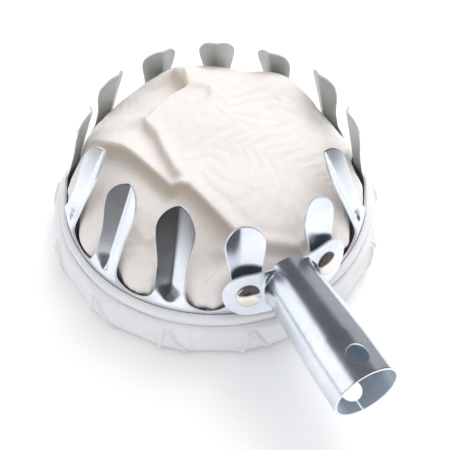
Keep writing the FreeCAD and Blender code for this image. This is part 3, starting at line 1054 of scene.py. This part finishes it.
@dataclass
class Skirt:
    """The bag's outer fold below the hem: it stands out under the strip, with a pair of pressed
    ridges below each claw, and turns under on the ground."""

    layout: Layout
    finish: Cotton
    gauge: float = 0.7
    top_radius: float = 80.7
    belly_radius: float = 86.0
    foot_radius: float = 81.5
    inner_radius: float = 73.4
    ledge_radius: float = 84.0
    ridge_rise: float = 1.5
    ridge_half_width: float = 0.9
    rows: int = 44
    short_leg: float = math.radians(-2.2)
    long_leg: float = math.radians(7.0)
    apex_gap: float = 0.012
    columns: int = 1040
    flatness: float = 0.85

    def __post_init__(self) -> None:
        """Read the fold's top from the frame."""
        self.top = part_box("bag_skirt")[1].z / MM

    def profile(self) -> Array:
        """Radius and height from the hem down over the belly, under the foot and up inside."""
        turn = np.linspace(0.0, 1.0, self.rows) ** 1.25
        stops = [0.0, 0.03, 0.08, 0.13, 0.32, 0.50, 0.66, 0.74, 0.88, 1.0]
        out = np.interp(turn, stops, [
            self.top_radius, self.top_radius + 1.2, self.ledge_radius, self.ledge_radius + 0.6,
            self.belly_radius, self.belly_radius - 0.5, self.foot_radius + 1.6, self.foot_radius - 0.5,
            self.inner_radius + 1.2, self.inner_radius,
        ])
        height = np.interp(turn, stops, [
            self.top + 0.9, self.top + 1.0, self.top + 0.4, self.top - 1.2,
            self.top * 0.62, self.top * 0.32, 1.0, 0.15, 0.25, 6.0,
        ])
        window = np.array([1.0, 2.0, 1.0]) / 4.0
        out[1:-1] = np.convolve(out, window, "valid")
        height[1:-1] = np.convolve(height, window, "valid")
        return np.stack([out, height], axis=-1)

    def corners(self) -> Array:
        """Angles of the ridges' feet, rising round the ring."""
        legs = (self.short_leg, self.long_leg)
        feet = [angle + leg for angle in self.layout.claw_angles() for leg in legs]
        return np.sort(np.mod(np.array(feet), 2.0 * math.pi))

    def chord_share(self, angle: Array) -> Array:
        """How much nearer the axis a straight chord between two feet runs than the circle: the
        cosine of half the span over the cosine of the angle from the span's middle."""
        feet = self.corners()
        ring = np.concatenate([feet[-1:] - 2.0 * math.pi, feet, feet[:1] + 2.0 * math.pi])
        spot = np.mod(angle, 2.0 * math.pi)
        after = np.searchsorted(ring, spot, side="right")
        start, end = ring[after - 1], ring[after]
        half = (end - start) / 2.0
        return np.cos(half) / np.cos(spot - (start + end) / 2.0)

    def ridge_height(self, angle: Array, height: Array) -> Array:
        """Rise of the ridges: from each apex below a claw two straight legs run down, one short and
        steep, one long and slanting, each a narrow roof with a rounded top."""
        rise = np.zeros(np.broadcast(angle, height).shape)
        drop = np.clip((self.top - 0.4 - height) / (self.top - 1.5), 0.0, 1.0)
        shown = soft_step((self.top - 0.3 - height) / 1.2) * soft_step((height - 0.4) / 1.0)
        for apex in self.layout.claw_angles():
            for leg in (self.short_leg, self.long_leg):
                centre = apex + math.copysign(self.apex_gap, leg) + leg * drop
                away = np.abs(np.mod(angle - centre + math.pi, 2.0 * math.pi) - math.pi) * self.belly_radius
                roof = soft_step((self.ridge_half_width * 1.5 - away) / (self.ridge_half_width * 0.75))
                rise = np.maximum(rise, roof * shown)
        return rise * self.ridge_rise

    def build(self) -> bpy.types.Object:
        """Build and dress the fold."""
        angle = np.linspace(-math.pi, math.pi, self.columns + 1)[None, :]
        profile = self.profile()
        radius, height = profile[:, :1], profile[:, 1:]
        belly = soft_step((radius - self.top_radius) / 3.0) * soft_step((height + 1.0) / 2.0)
        flat = 1.0 - (1.0 - self.chord_share(angle)) * self.flatness * belly
        sag = 0.35 * np.sin(angle * 5.0 + 0.7) + 0.25 * np.sin(angle * 17.0 + height * 0.5)
        out = radius * flat + sag * belly + self.ridge_height(angle, height) * belly
        run = np.cumsum(np.hypot(np.gradient(profile[:, 0]), np.gradient(profile[:, 1])))
        marks = np.stack(np.broadcast_arrays(angle * self.belly_radius, -run[:, None]), axis=-1)
        work = Patchwork()
        work.add(ring_point(out, angle, height + 0.0 * angle), marks, flip=True)
        piece = work.build("bag_fold")
        thicken(piece, self.gauge)
        dress(piece, [self.finish.material()], ["bag_skirt"])
        return piece


# ------------------------------------------------------------------ the bag's middle

@dataclass(frozen=True)
class Crease:
    """A fold line on the billowed cloth. The cloth on its right, going along it, overhangs the cloth
    on its left, which drops over a wall and rises again further off."""

    line: tuple[tuple[float, float], ...]
    drop: float
    wall: float
    fade: float
    lip: float = 0.6
    over: float = 0.0
    sharp: float = 0.45
    # drop at which a fold's painted shade is at its fullest
    full_shade_drop: float = 6.0

    def measure(self, x: Array, y: Array) -> tuple[Array, Array]:
        """Signed distance to the line, positive on its left, and how far along it.

        Args:
            x: places.
            y: places.
        Returns:
            Signed distances in millimetres and shares of the line's length from 0 to 1.
        """
        nodes = np.array(self.line)
        pieces = np.hypot(*np.diff(nodes, axis=0).T)
        starts = np.concatenate([[0.0], np.cumsum(pieces)]) / pieces.sum()
        nearest = np.full(x.shape, np.inf)
        signed = np.zeros(x.shape)
        share = np.zeros(x.shape)
        for number, length in enumerate(pieces):
            ax, ay = nodes[number]
            dx, dy = (nodes[number + 1] - nodes[number]) / length
            run = np.clip((x - ax) * dx + (y - ay) * dy, 0.0, length)
            gap = np.hypot(x - ax - run * dx, y - ay - run * dy)
            side = np.where(dx * (y - ay) - dy * (x - ax) >= 0.0, 1.0, -1.0)
            closer = gap < nearest
            nearest = np.where(closer, gap, nearest)
            signed = np.where(closer, gap * side, signed)
            reach = starts[number] + run / length * (starts[number + 1] - starts[number])
            share = np.where(closer, reach, share)
        return signed, share

    def shape(self, x: Array, y: Array) -> tuple[Array, Array, Array, Array]:
        """Displacement of the cloth near this fold.

        Args:
            x: places.
            y: places.
        Returns:
            Displacement along X, Y and Z: a straight wall with rounded edges (half the difference
            of two distances, plus a half) and its slow return on the left, a lip on the right, and
            the lip's lean over the wall; all die away at the line's two ends. The last value is
            how deep in the fold a point lies, from 0 to 1, which sets the painted tan shade there.
        """
        signed, share = self.measure(x, y)
        ends = soft_step(share / 0.14) * soft_step((1.0 - share) / 0.14)
        near, far = np.hypot(signed, self.sharp), np.hypot(signed - self.wall, self.sharp)
        wall = ((near - far) / (2.0 * self.wall) + 0.5) * bell(
            np.maximum(signed - self.wall, 0.0) / self.fade
        )
        lip = bell(signed / 3.2)
        rise = (self.lip * lip - self.drop * wall) * ends
        nodes = np.array(self.line)
        run = nodes[-1] - nodes[0]
        left = np.array([-run[1], run[0]]) / np.hypot(*run)
        push = self.over * bell((signed + 0.8) / 2.4) * ends
        # painted shade: how deep in the fold a point lies, which later tints the cloth tan
        below = np.maximum(signed - self.wall * 0.3, 0.0) / self.wall
        depth = soft_step((signed + 0.3) / 1.3) * bell(below) * ends * min(1.0, self.drop / self.full_shade_drop)
        return push * left[0], push * left[1], rise, depth


@dataclass
class Pouch:
    """The bag's middle: one round of cotton, pushed up through the ring so that it billows between
    the claws in broad faces with a few deep folds."""

    layout: Layout
    finish: Cotton
    cells: int = 200
    gauge: float = 0.45
    wall_radius: float = 72.2
    wall_foot: float = 3.0
    spring_level: float = 26.0
    top: float = 65.0
    round_power: float = 3.0
    rise_power: float = 2.5
    tilt: float = 5.5
    grow: float = 0.011
    hold: float = 0.30
    frames: int = 20
    scale_up: float = 10.0
    reach: float = 2.5
    creases: tuple[Crease, ...] = (
        Crease(((-9, -60), (-11, -52), (-14, -44), (-17, -35), (-22, -19), (-28, -12), (-33, 2),
                (-36, 10), (-40, 20), (-45, 27), (-50, 33), (-56, 38)),
               drop=8.5, wall=3.6, fade=35.0, lip=0.8, over=2.6),
        Crease(((-21, -16), (-24, -8), (-24, 5), (-23, 16), (-24, 26), (-23, 33)),
               drop=4.2, wall=2.4, fade=11.0, lip=0.8, over=1.4),
        Crease(((-23, 28), (-16, 34), (-6, 37), (5, 41), (8, 53)), drop=3.4, wall=2.8, fade=14.0, lip=0.4),
        Crease(((5, 38), (4, 56)), drop=5.5, wall=3.2, fade=12.0, lip=0.4),
        Crease(((7, 23), (13, 28), (15, 36)), drop=1.5, wall=3.0, fade=8.0, lip=0.4),
        Crease(((35, -57), (11, -64), (0, -60), (-18, -52), (-30, -46)), drop=2.5, wall=2.8, fade=10.0),
        Crease(((-54, -30), (-55, -35), (-54, -40)), drop=1.6, wall=3.0, fade=6.0, lip=0.5),
    )

    def flat_disc(self) -> tuple[Array, Array]:
        """A square grid drawn into a disc: each point keeps its larger coordinate as its radius and
        the ratio of the two as its angle.

        Returns:
            Radius from 0 to 1 and angle of every point.
        """
        step = np.linspace(-1.0, 1.0, self.cells + 1)
        a, b = np.meshgrid(step, step)
        radius = np.maximum(np.abs(a), np.abs(b))
        safe = np.where(radius > 0.0, radius, 1.0)
        wide = np.abs(a) >= np.abs(b)
        quarter = math.pi / 4.0
        angle = np.where(wide, quarter * b / safe * np.sign(a), quarter * (2.0 - a / safe * np.sign(b)))
        angle = np.where(wide, angle + np.where(a < 0.0, math.pi, 0.0),
                         np.where(b < 0.0, angle + math.pi, angle))
        return radius, angle

    def dome(self, share: Array) -> tuple[Array, Array, float]:
        """Half section from the middle to the rim, by even steps of its length: a dome whose radius
        and height follow a superellipse, then a wall down inside the ring.

        Args:
            share: 0 at the middle, 1 at the rim.
        Returns:
            Radius, height, and the section's whole length.
        """
        turn = np.linspace(0.0, math.pi / 2.0, 400)
        out = self.wall_radius * np.sin(turn) ** (2.0 / self.round_power)
        rise = self.spring_level + (self.top - self.spring_level) * np.cos(turn) ** (2.0 / self.rise_power)
        out = np.append(out, self.wall_radius)
        rise = np.append(rise, self.wall_foot)
        run = np.concatenate([[0.0], np.cumsum(np.hypot(np.diff(out), np.diff(rise)))])
        spot = share * run[-1]
        return np.interp(spot, run, out), np.interp(spot, run, rise), float(run[-1])

    def billow(self, x: Array, y: Array, lift: Array) -> Array:
        """Slow swell of the cloth: a peak at the back, a shoulder at the back right, and a broad face
        that slopes down towards the socket.

        Args:
            x: places.
            y: places.
            lift: 1 on the open dome and 0 on the wall.
        Returns:
            Rise in millimetres.
        """
        back = self.tilt * y / self.wall_radius
        peak = 5.5 * bell(np.hypot((x - 5.0) / 13.0, (y - 52.0) / 13.0))
        shoulder = 6.5 * bell(np.hypot((x - 54.0) / 20.0, (y - 28.0) / 17.0))
        dip = -4.0 * bell(np.hypot((x + 30.0) / 16.0, (y - 54.0) / 16.0))
        dip -= 4.0 * bell(np.hypot((x - 63.0) / 12.0, (y + 8.0) / 14.0))
        ripple = 0.35 * np.sin(x / 9.0 + 1.3 * np.sin(y / 14.0))
        ripple = ripple + 0.3 * np.sin(y / 7.5 + 1.1 * np.sin(x / 11.0))
        return (back + peak + shoulder + dip + ripple) * lift

    def surface(self) -> tuple[Array, Array, Array]:
        """Cloth before it settles: the dome, its swell, its folds, and gathers near the rim.

        Returns:
            Points, flat marks and depth in a fold, rows by columns; the depth sets the painted tan shade in
            the folds.
        """
        share, angle = self.flat_disc()
        out, height, length = self.dome(share)
        x, y = out * np.cos(angle), out * np.sin(angle)
        lift = soft_step((height - self.layout.gap_level - 4.0) / 22.0)
        rise = self.billow(x, y, lift)
        shift_x, shift_y, depth = np.zeros_like(x), np.zeros_like(y), np.zeros_like(x)
        for crease in self.creases:
            push_x, push_y, push_z, fold = crease.shape(x, y)
            # painted shade: keep the deepest fold at each point, for the tan shade painted into the folds
            depth = np.maximum(depth, fold * lift)
            shift_x += push_x * lift
            shift_y += push_y * lift
            rise += push_z * lift
        from_claw = np.min([
            np.abs(np.mod(angle + math.pi / 2.0 - claw + math.pi, 2.0 * math.pi) - math.pi)
            for claw in self.layout.claw_angles()
        ], axis=0) / (self.layout.pitch / 2.0)
        puff = 4.2 * soft_step(from_claw * 1.2) * bell((height - 30.5) / 10.0)
        gather = 0.7 * np.sin(angle * 36.0 + 2.0 * np.sin(angle * 5.0)) + 0.5 * np.sin(angle * 23.0)
        low = bell((height - 22.0) / 12.0)
        inward = 1.0 + (puff - np.abs(gather) * low - 0.4 * low) / self.wall_radius
        points = np.stack([x * inward + shift_x, y * inward + shift_y, height + rise], axis=-1)
        marks = np.stack([share * length * np.cos(angle), share * length * np.sin(angle)], axis=-1)
        return points, marks, depth

    def settle(self, points: Array) -> Array:
        """Let the cloth buckle a little: it grows by about a hundredth while every point is softly
        held where it was laid, and the rim is held fast. It runs on every second row and column, ten
        times as large, and the rows between move by the mean of their neighbours.

        Args:
            points: the cloth as it was laid, rows by columns by 3, in millimetres.
        Returns:
            The settled cloth.
        """
        coarse = points[::2, ::2]
        work = Patchwork()
        work.add(coarse * self.scale_up, coarse[..., :2])
        big = work.build("settling")
        start = vertex_places(big.data)
        held = big.vertex_groups.new(name="held")
        rim = start[:, 2] < (self.layout.gap_level - 8.0) * self.scale_up * MM
        held.add([int(number) for number in np.flatnonzero(rim)], 1.0, "REPLACE")
        held.add([int(number) for number in np.flatnonzero(~rim)], self.hold, "REPLACE")
        cloth = big.modifiers.new("cloth", "CLOTH")
        cloth.point_cache.frame_start = 1
        cloth.point_cache.frame_end = self.frames
        rules = cloth.settings
        for key, value in CLOTH_RULES.items():
            setattr(rules, key, value)
        rules.vertex_group_mass = "held"
        rules.shrink_min = -self.grow
        rules.effector_weights.gravity = 0.06
        scene = bpy.context.scene
        for number in range(1, self.frames + 1):
            scene.frame_set(number)
        view = bpy.context.evaluated_depsgraph_get()
        settled = vertex_places(big.evaluated_get(view).data)
        move = (settled - start) / self.scale_up / MM
        size = np.linalg.norm(move, axis=1, keepdims=True)
        move *= np.minimum(1.0, self.reach / np.maximum(size, 1e-9))
        LOG.info("cloth moved %.2f mm at most, %.2f mm on average", size.max(), size.mean())
        bpy.data.objects.remove(big)
        scene.frame_set(1)
        spread = np.zeros_like(points)
        spread[::2, ::2] = move.reshape(coarse.shape)
        spread[1::2, ::2] = (spread[:-1:2, ::2] + spread[2::2, ::2]) / 2.0
        spread[:, 1::2] = (spread[:, :-1:2] + spread[:, 2::2]) / 2.0
        return points + spread

    def build(self) -> bpy.types.Object:
        """Build, settle and dress the cloth."""
        points, marks, depth = self.surface()
        work = Patchwork()
        work.add(self.settle(points), marks)
        piece = work.build("bag_cloth")
        # second UV map that carries the painted tan shade of the folds, 0 on open cloth to 1 deep in a fold
        layer = piece.data.uv_layers.new(name="folds", do_init=False)
        corners = np.zeros(len(piece.data.loops), np.int32)
        piece.data.loops.foreach_get("vertex_index", corners)
        shade = np.repeat(depth.ravel()[corners][:, None], 2, axis=1)
        layer.data.foreach_set("uv", shade.astype(np.float32).ravel())
        thicken(piece, self.gauge)
        dress(piece, [self.finish.material()], ["bag_pouch"])
        return piece


def vertex_places(mesh: bpy.types.Mesh) -> Array:
    """Vertex coordinates of a mesh, one row each."""
    places = np.zeros(len(mesh.vertices) * 3, np.float32)
    mesh.vertices.foreach_get("co", places)
    return places.reshape(-1, 3).astype(float)


@dataclass
class Ties:
    """Cotton cords knotted just inside the strip, one in each gap, that hold the bag to its band."""

    layout: Layout
    finish: Cotton
    cord_radius: float = 0.62
    loop_radius: float = 0.95
    sag: float = 1.1
    drop: float = 3.5
    inset: float = 3.3
    outside: float = 78.3

    def path(self, number: int) -> Array:
        """A cord's path about its gap's knot: from the hole in the strip into a three-lobed knot,
        a trefoil curve, and out in one short loose end.

        Args:
            number: which tie, so that the ends differ.
        Returns:
            Rows of across, outwards and up, about the knot's middle.
        """
        turn = np.linspace(0.15 * math.pi, 1.95 * math.pi, 44)
        lobe = 2.0 + np.cos(3.0 * turn)
        knot = np.stack([
            lobe * np.cos(2.0 * turn), 1.3 * np.sin(3.0 * turn), lobe * np.sin(2.0 * turn),
        ], axis=-1) * (self.loop_radius / 2.2)
        gap = self.outside - (self.layout.radius - self.inset)
        lead = np.linspace(0.0, 1.0, 7)[:-1, None]
        hole = np.array([0.0, gap, self.sag])
        entry = hole + (knot[0] - hole) * lead
        swing = 1.0 if number % 2 else -1.0
        lean = 0.6 + 0.25 * math.sin(number * 2.1)
        end_way = np.array([swing * lean, -0.4, -0.5 - 0.2 * math.cos(number * 1.7)])
        tail = knot[-1] + np.linspace(0.0, 1.0, 8)[1:, None] * end_way * 2.6
        tail[:, 2] -= np.linspace(0.0, 1.0, 7) ** 2 * 0.9
        return np.concatenate([entry, knot, tail])

    def build(self) -> None:
        """Build and dress the ties."""
        material = self.finish.material()
        level = self.layout.gap_level - self.drop - self.sag
        for number, angle in enumerate(self.layout.gap_angles(), start=1):
            local = self.path(number)
            standing = np.stack([
                local[:, 0], -(self.layout.radius - self.inset) - local[:, 1], level + local[:, 2],
            ], axis=-1)
            thick = np.full(len(standing), self.cord_radius)
            thick[0] = 0.0
            thick[-1] = 0.0
            grid = tube_along(turned(standing, angle), thick, 8)
            run = np.linspace(0.0, 30.0, len(standing))[:, None]
            marks = np.stack(np.broadcast_arrays(np.linspace(0.0, 4.0, 9)[None, :], run), axis=-1)
            work = Patchwork()
            work.add(grid, marks)
            piece = work.build(f"tie_knot_{number:02d}")
            outward_normals(piece)
            dress(piece, [material], [f"bag_tie_{number:02d}"])


# ------------------------------------------------------------------ studio

@dataclass
class Studio:
    """White paper, soft light, and cards that only the metal's gloss can see."""

    camera_azimuth: float = math.radians(-26.1)
    camera_elevation: float = math.radians(47.5)
    camera_distance: float = 0.470
    aim_height: float = 0.028
    aim_right: float = 0.0047
    aim_up: float = -0.0189
    lens: float = 72.1
    paper_reach: float = 0.40

    def camera(self) -> None:
        """Make the camera: it looks at a point beside the ring's centre."""
        flat = math.cos(self.camera_elevation)
        back = Vector((
            math.sin(self.camera_azimuth) * flat,
            -math.cos(self.camera_azimuth) * flat,
            math.sin(self.camera_elevation),
        ))
        right = Vector((math.cos(self.camera_azimuth), math.sin(self.camera_azimuth), 0.0))
        up = back.cross(right)
        data = bpy.data.cameras.new("camera")
        data.lens = self.lens
        data.sensor_width = 36.0
        camera = bpy.data.objects.new("camera", data)
        bpy.context.scene.collection.objects.link(camera)
        centre = Vector((0.0, 0.0, self.aim_height))
        aim = centre + right * self.aim_right + up * self.aim_up
        camera.location = centre + back * self.camera_distance
        camera.rotation_euler = (aim - camera.location).to_track_quat("-Z", "Y").to_euler()
        bpy.context.scene.camera = camera

    def sheet(self, name: str, points: Array, material: bpy.types.Material, gloss_only: bool) -> None:
        """A staged sheet.

        Args:
            name: its name.
            points: rows by columns by 3, in millimetres.
            material: its finish.
            gloss_only: true if only reflections see it.
        """
        work = Patchwork()
        work.add(points, points[..., :2])
        card = work.build(name)
        card.data.materials.append(material)
        if gloss_only:
            card.visible_camera = False
            card.visible_diffuse = False
            card.visible_shadow = False
            card.visible_transmission = False
            card.visible_volume_scatter = False

    def dome_patch(self, azimuths: tuple[float, float], heights: tuple[float, float],
                   radius: float) -> Array:
        """Part of a sphere about the basket, between two azimuths and two elevations in degrees.
        Azimuth 0 is in front of the socket and 90 is on the +X side."""
        turn = np.radians(np.linspace(*azimuths, 25))[None, :]
        lift = np.radians(np.linspace(*heights, 13))[:, None]
        return ring_point(radius * np.cos(lift), turn, radius * np.sin(lift) + 40.0)

    def paper_edge(self, name: str, azimuths: tuple[float, float], strength: float) -> None:
        """Dark ground beyond the lit paper, between two azimuths, seen by gloss only."""
        turn = np.radians(np.linspace(*azimuths, 33))[None, :]
        out = np.array([[self.paper_reach / MM], [self.paper_reach / MM * 1.3], [2600.0]])
        glow = Glow(name, (1.0, 0.94, 0.90), strength)
        self.sheet(name, ring_point(out, turn, 0.4), glow.material(), True)

    def cards(self) -> None:
        """The dark room, its bright left softbox, grey right side and darker front, seen by gloss only."""
        walls = (
            ("room", (0.95, 0.92, 1.0), 0.13, (-180, 180), (-9, 90), 2600.0),
            ("softbox_left", (0.97, 0.98, 1.0), 1.25, (-150, -95), (-7, 47), 2000.0),
            ("wall_front", (1.0, 0.90, 0.85), 0.035, (-42, 8), (-9, 14), 2200.0),
            ("wall_right", (0.93, 0.95, 1.0), 0.45, (105, 150), (-9, 45), 2100.0),
        )
        for name, colour, strength, azimuths, heights, radius in walls:
            glow = Glow(name, colour, strength)
            self.sheet(name, self.dome_patch(azimuths, heights, radius), glow.material(), True)
        self.paper_edge("beyond_front", (-60, 60), 0.04)
        self.paper_edge("beyond_left", (-100, -60), 0.22)
        self.paper_edge("beyond_rest", (60, 260), 0.08)

    def floor(self) -> None:
        """Pale floor."""
        step = np.array([-6000.0, 6000.0])
        x, y = np.meshgrid(step, step)
        self.sheet("floor", np.stack([x, y, np.full_like(x, -0.2)], axis=-1), Paper().material(), False)

    def light(self, name: str, place: tuple[float, float, float], size: float, watts: float,
              colour: Colour) -> None:
        """A square soft light that points at the basket and that gloss doesn't see."""
        data = bpy.data.lights.new(name, "AREA")
        data.shape = "SQUARE"
        data.size = size
        data.energy = watts
        data.color = colour
        lamp = bpy.data.objects.new(name, data)
        bpy.context.scene.collection.objects.link(lamp)
        lamp.location = place
        lamp.rotation_euler = (Vector((0.0, 0.0, 0.04)) - lamp.location).to_track_quat("-Z", "Y").to_euler()
        lamp.visible_glossy = False
        lamp.visible_camera = False

    def build(self) -> None:
        """Set up the floor, the light, the cards and the picture's plain tone."""
        self.camera()
        self.floor()
        self.cards()
        self.light("key", (0.9, 0.6, 1.2), 1.1, 13.0, (1.0, 0.985, 0.97))
        world = bpy.data.worlds.new("studio_air")
        world.use_nodes = True
        world.node_tree.nodes["Background"].inputs["Color"].default_value = (0.97, 0.985, 1.0, 1.0)
        world.node_tree.nodes["Background"].inputs["Strength"].default_value = 0.96
        bpy.context.scene.world = world
        bpy.context.scene.view_settings.view_transform = "Standard"


# ------------------------------------------------------------------ whole basket


def main() -> None:
    """Build the pieces in order."""
    logging.basicConfig(level=logging.INFO, format="%(name)s %(message)s")
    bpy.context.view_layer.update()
    layout = Layout.from_frame()
    Studio().build()
    # colour of the painted tan shade deep in the cream cotton's folds
    tan = (0.56, 0.47, 0.38)
    cream = Cotton("cream_cotton", (0.83, 0.785, 0.76), (0.77, 0.715, 0.685), painted_fold_shade_colour=tan)
    white = Cotton("white_cotton", (0.79, 0.79, 0.80), (0.73, 0.725, 0.735), weave_depth=0.03)
    thread = Cotton("thread", (0.88, 0.87, 0.86), (0.78, 0.77, 0.76), thread=0.3)
    cord = Cotton("tie_cotton", (0.88, 0.86, 0.82), (0.74, 0.71, 0.66), thread=0.45, weave_depth=0.12)
    strip_faces = zinc_faces("zinc_strip", (0.12, 0.22), (0.56, 0.59, 0.575), (0.44, 0.47, 0.455))
    ClawCrown(layout, strip_faces).build()
    socket_faces = zinc_faces("zinc_socket", (0.18, 0.29), (0.78, 0.84, 0.92), (0.64, 0.71, 0.80))
    socket = PoleSocket(layout, socket_faces)
    socket.build()
    Rivets(layout, Nickel(), socket.axis).build()
    Hem(layout, white, thread).build()
    Skirt(layout, white).build()
    Pouch(layout, cream).build()
    Ties(layout, cord).build()


if __name__ == "__main__":
    main()
